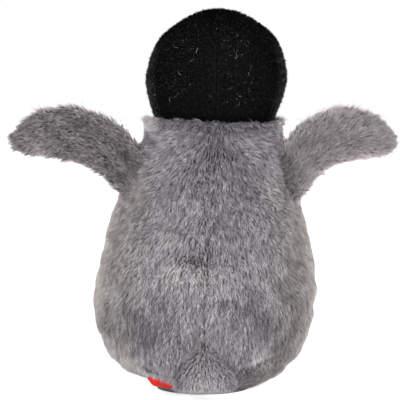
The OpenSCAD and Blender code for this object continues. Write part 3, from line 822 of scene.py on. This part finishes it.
def head_dip(a, v):
    """How far the seams pull the head's cloth in, from 0 to 1 at a seam's own line."""
    reach = np.maximum(through(HEAD_ROWS, v)[..., 1], 4) * math.pi / 180
    near = 0
    for line in (BACK, EAR_SEAM, 180 - EAR_SEAM, FACE_SEAM, 180 - FACE_SEAM):
        near = np.maximum(near, bump(wrapped(a - line) * reach, HEAD_SEAM_W))
    for line in (FRONT - NOSE_HALF, FRONT + NOSE_HALF):
        near = np.maximum(near, bump(wrapped(a - line) * reach, HEAD_SEAM_W) * (v < FACE_TOP))
    front = np.abs(wrapped(a - BACK)) > 90 - FACE_SEAM
    near = np.maximum(near, bump((v - FACE_TOP) * 80, HEAD_SEAM_W) * front)
    return near * ease((0.985 - v) / 0.05)


def head_skin(a, v):
    p, n, _, _ = frame_at(head_outer, a, v)
    p = p - n * (1.0 + 0.9 * head_dip(a, v) - 0.35 * waves(p, 40, 8))[..., None]
    # The upper half is a little slimmer than a ball.
    slim = 0.03 * ease((p[..., 2] - 198) / 14) + 0.05 * ease((p[..., 2] - 226) / 16)
    middle = PIVOT[0] - HEAD_LEAN
    p[..., 0] = middle + (p[..., 0] - middle) * (1 - slim)
    # The cloth closes over the crown.
    crown = np.array([middle, 0, CROWN_Z - 1.0])
    return mix(crown, p, (0.04 + 0.96 * ease((1 - v) / 0.01))[..., None])


black_look = tones("hood_pile", (3, 4, 4), (86, 90, 90), 9, root=0.35, tip=1.2, rough=0.8, sheen=0,
                   specular=0.08)
lint_look = tones("lint", (62, 64, 64), (138, 140, 140), 4, root=0.8, tip=1.0)
white_look = tones("face_pile", (206, 202, 197), (240, 238, 234), 4, root=0.85, tip=1.03)
hood_cloth = textured("hood_cloth", (5, 6, 6), (12, 13, 13), 0.9, 3000, size=0.0002, specular=0.1)
face_cloth = textured("face_cloth", (192, 188, 183), (216, 212, 207), 0.9, 3000, size=0.0002)

# The seams on both sides, the levels, and whether the piece belongs to the white face.
HEAD_PANELS = {
    "hood_back_left": (EAR_SEAM, BACK, 0, 1, False),
    "hood_back_right": (BACK, 180 - EAR_SEAM, 0, 1, False),
    "hood_side_left": (FACE_SEAM, EAR_SEAM, 0, 1, False),
    "hood_side_right": (180 - EAR_SEAM, 180 - FACE_SEAM, 0, 1, False),
    "forehead_panel": (180 - FACE_SEAM, 360 + FACE_SEAM, FACE_TOP, 1, False),
    "nose_strip": (FRONT - NOSE_HALF, FRONT + NOSE_HALF, BEAK_LEVEL, FACE_TOP, False),
    "face_left": (FRONT + NOSE_HALF, 360 + FACE_SEAM, 0, FACE_TOP, True),
    "face_right": (180 - FACE_SEAM, FRONT - NOSE_HALF, 0, FACE_TOP, True),
    "chin_panel": (FRONT - NOSE_HALF, FRONT + NOSE_HALF, 0, BEAK_LEVEL, True),
}


def head_panel(node, start, end, v0, v1, white):
    span = between(start, end)
    cloth = skin(node + "_cloth", head_skin, span, v0, v1, 48, 64, face_cloth if white else hood_cloth)
    soft(cloth, node, "head")
    a, v = scatter(head_outer, span, max(v0, 0.02), min(v1, 0.992), 0.9 if white else 1.3)
    p, n, _, tv = frame_at(head_skin, a, v, 1.0, 0.004)
    flow = turned(-tv, n, np.radians(25) * waves(p, 30, 9))
    length = (1 - 0.4 * head_dip(a, v)) * rng.uniform(0.85, 1.12, len(a))
    length *= FACE_PILE if white else HOOD_PILE
    if white:
        # The pile is clipped round the eyes and the beak.
        eye = "eye_left" if node == "face_left" else "eye_right"
        keep = np.linalg.norm(p - (low(eye) + high(eye)) / 2, axis=1) > 6.6
        if node == "chin_panel":
            keep = p[:, 2] < low("beak_lower")[2] + 3
        made = pile(node + "_pile", p[keep], n[keep], flow[keep], length[keep], white_look, blades=5,
                    spread=0.45, width=0.22, rise=(70, 25))
    else:
        length = length * (1 + 0.22 * waves(p, 4.5, 15))
        glint = 0.015 + 0.02 * waves(p, 16, 13) + 0.04 * rng.random(len(a))
        # Painted highlight makes the pile of the side pieces lighter, as light catching it, and a few tips
        # stand out near the middle seam.
        aside = np.abs(wrapped(a - BACK))
        glint += (0.40 + 0.16 * waves(p, 5, 16)) * ease((aside - 60) / 5) * ease((232 - p[:, 2]) / 20)
        patch = bump(wrapped(a - BACK - 8), 15) * (0.5 + 0.5 * waves(p, 18, 14))
        glint += rng.uniform(0.2, 0.8, len(a)) * (rng.random(len(a)) < 0.006 + 0.10 * clamp01(patch))
        made = pile(node + "_pile", p, n, flow, length, black_look, blades=8, spread=0.7, width=0.26,
                    rise=(82, 62), gather=0.55, stray=0.08, shade=glint)
    grow(made, "head")


def lint():
    """A few pale fibres and many flecks lying on the hood, as dark velour picks them up."""
    fibres, flecks = 22, 170
    n = fibres + flecks
    a = BACK + rng.choice([-36, -26, 6, 12, 18, 24], n) + rng.normal(0, 6, n)
    v = np.clip(rng.choice([0.3, 0.42, 0.55, 0.62, 0.68], n) + rng.normal(0, 0.05, n), 0.15, 0.93)
    p, n_out, ta, tv = frame_at(head_skin, a, v)
    spin = rng.uniform(0, 2 * math.pi, n)
    flow = ta * np.cos(spin)[:, None] + tv * np.sin(spin)[:, None]
    length = np.where(np.arange(n) < fibres, rng.uniform(2.0, 5.5, n), rng.uniform(0.4, 1.0, n))
    grow(pile("hood_lint", p + n_out * 1.8, n_out, flow, length, lint_look, blades=1, spread=0, width=0.13,
              rise=(16, -4), gather=0, stray=0.1, wander=45, levels=6), "head")


def head():
    for node, spec in HEAD_PANELS.items():
        head_panel(node, *spec)
    lint()
    rings = rings_in(head_outer, np.arange(0, 360, 7.5), np.linspace(0.05, 0.98, 26), 3.4)
    soft(tube("head_filling", rings, wadding), "head_stuffing", "head")


# ---------- beak ----------

beak_cloth = textured("beak_cloth", (9, 9, 10), (24, 24, 26), 0.85, 1900, size=0.00035, specular=0.12)


def beak():
    """Two drooping halves that meet at a parting, each a loft from the face to a rounded tip."""
    root_y = high("beak_upper")[1]
    for half, sign in (("upper", 1), ("lower", -1)):
        node = f"beak_{half}"
        lo, hi = low(node), high(node)
        length, wide = root_y - lo[1], (hi[0] - lo[0]) / 2
        parting = high("beak_lower")[2]
        rise = hi[2] - parting if sign > 0 else 0.62 * (parting - lo[2])
        rings = []
        for i in range(25):
            t = 1 - (1 - i / 24) ** 1.7
            keep = math.sqrt(max(1 - 0.985 * t**1.15, 0.0))
            b = np.radians(np.linspace(0, 180, 25))
            # The back of the bill is a ridge, and its edge turns under a little.
            w = wide * keep * np.cos(b)
            h = rise * keep * (np.sin(b) ** 0.85)
            droop = -2.5 * t * t - 0.5 * bump(t - 0.55, 0.2) * (sign > 0)
            ahead = np.full(len(b), -length * t)
            under = np.stack([-w, ahead, 0 * w - 0.15 * rise * keep], -1)[1:-1][::-1]
            loop = np.concatenate([np.stack([w, ahead, h], -1), under])
            loop[:, 2] = loop[:, 2] * sign + parting + droop + 0.1 * sign
            rings.append(loop + [(lo[0] + hi[0]) / 2, root_y, 0])
        soft(tube(node + "_cloth", rings, beak_cloth, -sign), node, "head")


# ---------- tail ----------

TAIL_Z, TAIL_HALF = 31, 21
TAIL_Y = hinge_at("tail_lift")[1]
# Height, half width, half depth and middle of the level rings of the tail, from the floor up.
TAIL_ROWS = [
    [7.0, 0.46 * TAIL_HALF, 3.5, TAIL_Y - 3.0],
    [8.2, 0.84 * TAIL_HALF, 7.0, TAIL_Y - 2.8],
    [11.5, 0.96 * TAIL_HALF, 9.0, TAIL_Y - 1.6],
    [16.5, 0.86 * TAIL_HALF, 8.2, TAIL_Y - 0.2],
    [22, 0.68 * TAIL_HALF, 6.3, TAIL_Y],
    [TAIL_Z - 3, 0.48 * TAIL_HALF, 5.2, TAIL_Y - 2.6],
    [TAIL_Z + 4, 0.30 * TAIL_HALF, 5.0, TAIL_Y - 7.5],
]


def tail_place(inset):
    """The tail's surface as place(b, v), brought in by inset: b is 0 at its left edge and 90 at its back."""

    def place(b, v):
        z, half, deep, middle = np.moveaxis(through(TAIL_ROWS, v), -1, 0)
        b = np.radians(b)
        x = np.maximum(half - inset, 1) * np.cos(b) - 1.2
        y = middle + np.maximum(deep - inset, 0.8) * np.sin(b)
        return np.stack([x, y, z + 1.6 * inset * ease(1 - v / 0.3)], -1)

    return place


def tail_cover(bend):
    """A fan of the body's pile that runs on over the top of the tail."""
    n = 700
    lower = np.sqrt(rng.random(n))  # 0 at the top of the fan and 1 at its foot
    aside = rng.uniform(0.9, 9, n) * mix(0.4, 1, lower) * rng.choice([-1, 1], n)
    p, out, ta, _ = frame_at(torso_skin, BACK + aside, mix(0.385, 0.285, lower), 1.0, 0.004)
    flow = ta * (aside / 9 * 0.55)[:, None] - UP
    length = 7.2 * rng.uniform(0.8, 1.15, n)
    shade = 0.55 + 0.06 * waves(p, 8, 27) + rng.normal(0, 0.1, n)
    grow(pile("tail_cover_pile", p + out * (1.5 * lower - 0.8)[:, None], out, flow, length, grey_look,
              rise=(mix(16, 50, lower), 9), shade=shade, wander=8), "tail", bend)


def tail():
    hinge = hinge_at("tail_lift")
    bend = (hinge + [0, 0, 3], hinge - [0, 0, 5])
    cloth_at = tail_place(3.6)
    for node, b0, b1 in (("tail_top", 0, 180), ("tail_under", 180, 360)):
        span = between(b0, b1)
        cloth = skin(node + "_cloth", cloth_at, span, 0, 1, 24, 30, backing)
        soft(cloth, node, "tail", bend)
        b, v = scatter(cloth_at, span, 0.03, 0.98, BODY_GAP)
        p, n, _, _ = frame_at(cloth_at, b, v, 2.0, 0.01)
        across = np.cos(np.radians(b))
        flow = turned(across[:, None] * [0.35, 0, 0] - UP, n, np.radians(5) * waves(p, 14, 17))
        length = TAIL_PILE * rng.uniform(0.82, 1.15, len(b))
        shade = 0.50 - 0.2 * across**4 + 0.06 * waves(p, 12, 18) + rng.normal(0, 0.08, len(b))
        grow(pile(node + "_pile", p, n, flow, length, grey_look, rise=(54, 12), shade=shade, wander=8),
             "tail", bend)
    tail_cover(bend)
    rings = rings_in(tail_place(5.6), np.arange(0, 360, 15.0), np.linspace(0.1, 0.8, 10))
    soft(tube("tail_filling", rings, wadding), "tail_stuffing", "tail", bend)


# ---------- feet ----------

FOOT_L, FOOT_H, FOOT_SPLAY = 46, 11, 12
TOE_ANGLE, TOE_OUT, FOOT_MID = 38, 0.05, 0.47
# The sole's rings: share of its outline, and height.
SOLE_ROWS = [(0.02, 0.15), (0.5, 0.05), (0.9, 0), (0.97, 0.35),
             (1, 1.1), (0.97, 1.5), (0.5, 1.5), (0.02, 1.5)]
foot_look = tones("foot_pile", (9, 9, 10), (56, 57, 58), 5, root=0.5, tip=1.25, rough=0.75, sheen=0.1)
foot_cloth = textured("foot_cloth", (7, 7, 8), (20, 20, 21), 0.85, 3000, size=0.0003, sheen=0.1)
sole_cloth = textured("sole_cloth", (12, 12, 13), (30, 30, 32), 0.9, 2200, size=0.0003, sheen=0.15)


def foot_radius(b):
    """The outline from the foot's middle, with three toes; b is 0 at the middle toe."""
    m = wrapped(b)
    toes = np.where(np.abs(m) < TOE_ANGLE * 1.5, 1 + np.cos(np.radians(360 * m / TOE_ANGLE)), 0)
    return FOOT_L * (mix(0.35, 0.44, np.cos(np.radians(m)) ** 2) + TOE_OUT * toes)


def foot(side):
    hinge = hinge_at(f"{side}_foot_flap")
    mirror = 1 if side == "left" else -1
    splay = math.radians(FOOT_SPLAY)
    body = f"{side}_foot"

    def spot(x, y, z):
        x, y = x * math.cos(splay) - y * math.sin(splay), x * math.sin(splay) + y * math.cos(splay)
        return np.stack([x * mirror, y, z], -1) + hinge

    def around(r, b, z):
        """The place at distance r and angle b from the foot's middle, at height z over the floor."""
        return spot(r * np.sin(b), -FOOT_L * FOOT_MID - r * np.cos(b), z - hinge[2])

    def dome(b, v, inset=0.8):
        """The foot's top: v is 0 at its edge and 1 at its middle."""
        r = (foot_radius(b) - inset) * np.cos(np.radians(89.8 * v))
        between_toes = bump(np.abs(wrapped(b)) - TOE_ANGLE / 2, 5.5) * bump(v - 0.1, 0.42)
        z = 0.9 + (FOOT_H - 2.4) * np.sin(np.radians(90 * v)) * (1 - 0.30 * between_toes)
        b = np.radians(b)
        # The top rises towards the ankle, where it meets the body.
        return around(r, b, z + 1.6 * ease(v / 0.5) * clamp01(-np.cos(b)))

    ahead = spot(np.array(0.0), np.array(-1.0), np.array(0.0)) - hinge
    bend = (hinge - ahead, hinge + ahead * 7)
    whole = between(0, 360)
    top = skin(f"foot_top_{side}_cloth", dome, whole, 0, 1, 120, 20, foot_cloth, mirror)
    soft(top, f"foot_top_{side}", body, bend)
    b, v = scatter(dome, whole, 0.0, 0.985, 1.1)
    p, n, _, tv = frame_at(dome, b, v, 1.0, 0.01)
    length = FOOT_PILE * rng.uniform(0.85, 1.12, len(b))
    glint = 0.12 + np.abs(rng.normal(0, 0.2, len(b)))
    grow(pile(f"foot_top_{side}_pile", p, n * mirror, -tv, length, foot_look, blades=8, spread=0.6, width=0.2,
              rise=(78, 50), gather=0.25, stray=0.1, shade=glint), body, bend)

    # The sole: flat, with a soft edge that rolls up to the seam.
    b = np.arange(0, 360, 3.0)
    flat = np.full(len(b), 0.5)
    rings = [around((foot_radius(b) - 0.5) * share, np.radians(b), flat + lift) for share, lift in SOLE_ROWS]
    sole = tube(f"foot_sole_{side}_cloth", rings, sole_cloth, mirror)
    soft(sole, f"foot_sole_{side}", body, bend)

    # The filling follows the inside of the top.
    b = np.arange(0, 360, 7.5)
    rings = [dome(b, np.full(len(b), v), 2.6) - [0, 0, 1.2] for v in (0.1, 0.3, 0.5, 0.7, 0.9)]
    filling = tube(f"foot_filling_{side}", rings, wadding, mirror)
    soft(filling, f"foot_stuffing_{side}", body, bend)


# ---------- label ----------

ribbon = textured("ribbon", (140, 14, 4), (184, 30, 10), 0.55, 900, pattern="X", depth=0.3,
                  size=0.00015, specular=0.12)


def label():
    """A ribbon folded in two, a little wider open at the fold, with its cut ends in the seam."""
    at = hinge_at("label_flap")
    lo, hi = low("care_label"), high("care_label")
    drop = at[2] - lo[2]
    wide = (hi[0] - lo[0]) / 2
    thick = 0.3
    xs = np.linspace(-1, 1, 25)
    # The outer end of the fold hangs less far down, and its corner is rounded.
    hang = mix(1.0, 0.78, (xs + 1) / 2) - 0.45 * clamp01((xs - 0.2) / 0.8) ** 2
    run = np.linspace(0, 1, 41)
    side = run < 0.5
    t = np.where(side, run * 2, (1 - run) * 2)  # 0 at the seam and 1 at the fold
    half = 0.25 + 0.45 * ease(t / 0.6)
    y = np.where(side, 1, -1) * half * np.sqrt(np.maximum(1 - t**6, 0))
    z = 0.8 - (drop + 0.4) * t ** 0.97
    middle = np.stack([y, z], -1)
    heading = unit(np.gradient(middle, axis=0))
    out = np.stack([heading[:, 1], -heading[:, 0]], -1)
    faces = []
    for face in (1, -1):
        rows = []
        for point, outward, share in zip(middle, out, t):
            y, z = point + outward * face * thick / 2
            curl = 0.55 * share * np.sin(xs * 2.3 + 0.4) + 0.25 * share * xs - 2.5 * ((xs + 1) / 2) ** 2
            rows.append(np.stack([xs * wide, y + curl, z * hang + 0.3 * np.cos(xs * 5) * share], -1))
        faces.append(np.array(rows) + at)
    front, rear = faces
    piece = tube("care_label_ribbon", np.concatenate([front, rear[:, ::-1]], axis=1), ribbon)
    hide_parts("care_label")
    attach(piece, "label")
    label_cover(at, wide)


def label_cover(at, wide):
    """Pile of the fold above, which hangs over the label's top."""
    n = 900
    a, v = rng.uniform(50, 80, n), rng.uniform(0.22, 0.31, n)
    p, out, ta, _ = frame_at(torso_skin, a, v, 1.0, 0.004)
    level = unit(out * [1, 1, 0])
    tip_z = 8.2 + 0.28 * (p[:, 0] - 17)
    length = np.clip(p[:, 2] - tip_z, 4, 9) * rng.uniform(0.9, 1.15, n)
    # It starts in front of the label wherever the body is behind it.
    along = clamp01((p[:, 0] - at[0] + wide) / (2 * wide))
    lifted = np.maximum(at[1] + 1.2 - 2.5 * along**2 - 0.9 * np.maximum(p[:, 2] - 16, 0) - p[:, 1], 0)
    p[:, 1] += lifted
    # Tufts lifted off the body are a little lighter, painted light against the dark of their roots.
    shade = 0.38 + 0.015 * lifted + 0.06 * waves(p, 8, 28) + rng.normal(0, 0.1, n)
    lower = ease((25 - p[:, 2]) / 8)
    bend = (at + [0, 0, 3], at - [0, 0, 6])
    grow(pile("label_cover_pile", p + level * (1.2 * lower - 0.4)[:, None], level, -UP - ta * 0.12, length,
              grey_look, rise=(mix(16, 44, lower), -8), shade=shade, wander=8), "label", bend)


# ---------- small nodes that keep their CAD shape ----------


def small_parts():
    eye_gloss = textured("eye_gloss", (4, 4, 4), (9, 8, 8), 0.08, 120, depth=0.02, size=0.00005,
                         rough_range=0.04, specular=0.25, coat=0.2)
    stitch = {"pattern": "DIAGONAL", "size": 0.0002}
    thread = textured("thread", (52, 51, 53), (92, 90, 92), 0.8, 1400, **stitch)
    pale_thread = textured("pale_thread", (98, 96, 98), (142, 139, 141), 0.8, 1400, **stitch)
    plastic = textured("washer_plastic", (196, 195, 190), (226, 225, 221), 0.45, 400, depth=0.1,
                       size=0.0001)
    patch_cloth = textured("base_patch_cloth", (84, 82, 85), (116, 113, 116), 0.9, 1500, size=0.0004,
                           sheen=0.2)
    lining = textured("lining", (188, 186, 180), (222, 220, 214), 0.9, 2400, size=0.0002)
    beads = textured("bead_plastic", (150, 158, 164), (214, 220, 224), 0.35, 330, pattern="CELLS",
                     depth=0.8, size=0.0015, specular=0.5)
    painted = {
        "tail_stitching": thread, "label_stitching": pale_thread, "pellet_pouch_upper": lining,
        "pellet_pouch_lower": lining, "pellets": beads, "neck_stuffing": wadding, "base_patch": patch_cloth,
    }
    pairs = {"eye": eye_gloss, "eye_washer": plastic, "flipper_stitching": thread, "foot_stitching": thread}
    for start, material in pairs.items():
        painted[f"{start}_left"] = painted[f"{start}_right"] = material
    for node, material in painted.items():
        piece = frame["nodes"][node]
        piece.data.materials.clear()
        piece.data.materials.append(material)


# ---------- camera, light and floor ----------

CAMERA_FAR = 1.25
CAMERA_UP = math.radians(4)
PICTURE = 0.26  # what the picture's width shows at the toy, in metres
aim = Vector((0.0020, 0, 0.1225))

camera = bpy.data.objects.new("camera", bpy.data.cameras.new("camera"))
scene.collection.objects.link(camera)
camera.location = aim + Vector((0, math.cos(CAMERA_UP), math.sin(CAMERA_UP))) * CAMERA_FAR
camera.rotation_euler = (aim - camera.location).to_track_quat("-Z", "Y").to_euler()
camera.data.lens = camera.data.sensor_width * CAMERA_FAR / PICTURE
scene.camera = camera


LIT = Vector((0, 0, 0.12))  # where the lamps point
for name, place, size, power in (
    ("key", Vector((0.9, 1.3, 1.3)), 0.5, 26),
    ("fill", Vector((-1.1, 1.1, 0.9)), 0.8, 15),
    ("front", Vector((0.3, -1.5, 1.1)), 1.0, 14),
):
    lamp = bpy.data.objects.new(name, bpy.data.lights.new(name, "AREA"))
    lamp.data.shape = "DISK"
    lamp.data.size = size
    lamp.data.energy = power
    lamp.location = place
    lamp.rotation_euler = (LIT - place).to_track_quat("-Z", "Y").to_euler()
    scene.collection.objects.link(lamp)

world = bpy.data.worlds.new("studio")
scene.world = world
world.use_nodes = True
dial(world.node_tree.nodes["Background"], {"Color": (1, 1, 1, 1), "Strength": 1.0})
scene.view_settings.view_transform = "Standard"

floor_mat = principled("floor", (0.95, 0.95, 0.95), 0.9)
glow = {"Emission Color": (1, 1, 1, 1), "Emission Strength": 0.75}
dial(floor_mat.node_tree.nodes["Principled BSDF"], glow)
angles = np.radians(np.arange(0, 360, 7.5))
ring = np.stack([np.cos(angles) * 6000, np.sin(angles) * 6000, np.zeros(48)], -1)
floor = new_mesh("floor", ring, [np.arange(48)[None]], [floor_mat])


# ---------- assembling ----------

torso()
for side in ("left", "right"):
    flipper(side)
    foot(side)
head()
beak()
tail()
label()
small_parts()
